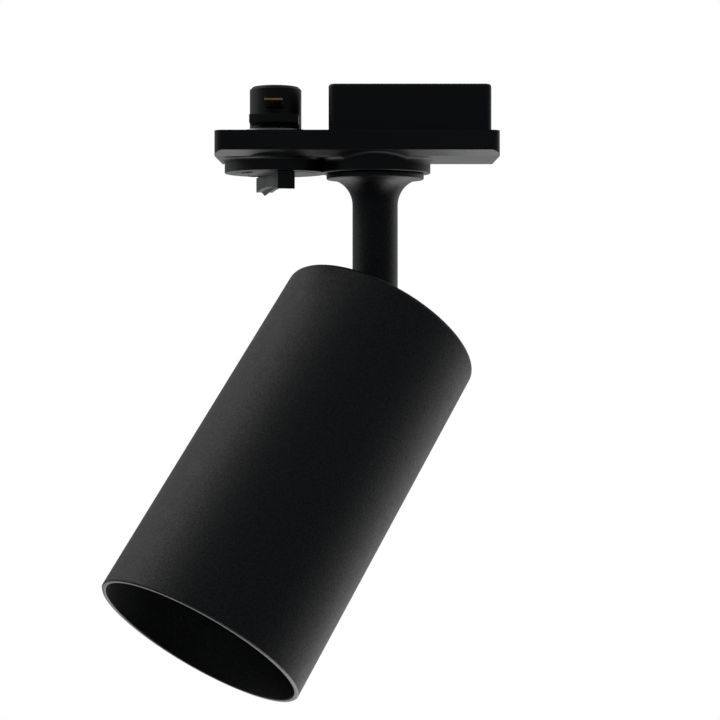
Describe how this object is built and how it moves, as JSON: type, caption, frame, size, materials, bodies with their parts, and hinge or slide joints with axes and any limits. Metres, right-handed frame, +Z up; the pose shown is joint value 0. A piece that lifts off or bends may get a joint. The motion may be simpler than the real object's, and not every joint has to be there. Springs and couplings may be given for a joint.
{
  "type": "track spotlight",
  "caption": "Track spotlight: a plain cylinder head on a round stem that pans and tilts under a plug-in track adapter with a thumb lock.",
  "frame": {"origin": "on the stem's axis, at the adapter plate's top face, where it seats under the track", "axes": "+Z up towards the track, X along the track, Y across it"},
  "size_m": [0.1017, 0.0923, 0.1602],
  "materials": {
    "adapter_plastic": "satin moulded black",
    "black_powder_coat": "fine matt powder coat",
    "zinc_steel": "zinc plated",
    "copper_alloy": "bright",
    "ceramic_white": "unglazed ceramic",
    "lamp_white": "satin white",
    "lamp_optic": "clear moulded optic",
    "lamp_board": "white solder mask",
    "fibre_washer": "hard fibre",
    "lead_brown": "silicone insulation",
    "lead_blue": "silicone insulation",
    "lead_green": "silicone insulation"
  },
  "bodies": {
    "adapter": {"base_plate": "adapter_plastic", "track_housing": "adapter_plastic", "housing_screws": "zinc_steel", "earth_contact": "copper_alloy", "adapter_live_lead": "lead_brown", "adapter_neutral_lead": "lead_blue", "adapter_earth_lead": "lead_green"},
    "lock": {"lock_lever": "adapter_plastic", "lock_rotor": "adapter_plastic", "rotor_clip": "zinc_steel", "rotor_screw": "zinc_steel", "live_contact": "copper_alloy", "neutral_contact": "copper_alloy"},
    "stem": {"stem_tube": "black_powder_coat", "friction_washer": "fibre_washer", "threaded_nipple": "zinc_steel", "stop_washer": "zinc_steel", "wave_washer": "zinc_steel", "nipple_nut": "zinc_steel", "lock_nut": "zinc_steel", "knuckle": "black_powder_coat", "knuckle_screw": "zinc_steel", "stem_live_lead": "lead_brown", "stem_neutral_lead": "lead_blue", "stem_earth_lead": "lead_green"},
    "head": {"head_tube": "black_powder_coat", "rear_cap": "black_powder_coat", "cap_screws": "black_powder_coat", "pivot_bracket": "zinc_steel", "pivot_screw": "zinc_steel", "pivot_nut": "zinc_steel", "pivot_washers": "fibre_washer", "lampholder": "ceramic_white", "lampholder_contacts": "copper_alloy", "lampholder_screw": "zinc_steel", "lamp_body": "lamp_white", "lamp_board": "lamp_board", "lamp_lens": "lamp_optic", "lamp_pins": "zinc_steel", "earth_tag": "copper_alloy", "earth_screw": "zinc_steel", "head_live_lead": "lead_brown", "head_neutral_lead": "lead_blue", "head_earth_lead": "lead_green"}
  },
  "joints": [
    {"name": "lock_turn", "type": "hinge", "parent": "adapter", "child": "lock", "pos_m": [-0.027, 0, 0], "axis": [0, 0, 1], "range_deg": [0, 90]},
    {"name": "pan", "type": "hinge", "parent": "adapter", "child": "stem", "pos_m": [0, 0, 0], "axis": [0, 0, 1], "range_deg": [-175, 175]},
    {"name": "tilt", "type": "hinge", "parent": "stem", "child": "head", "pos_m": [0, 0, -0.0606], "axis": [-0.6782, 0.7349, 0], "range_deg": [-38.6, 21.4]}
  ]
}
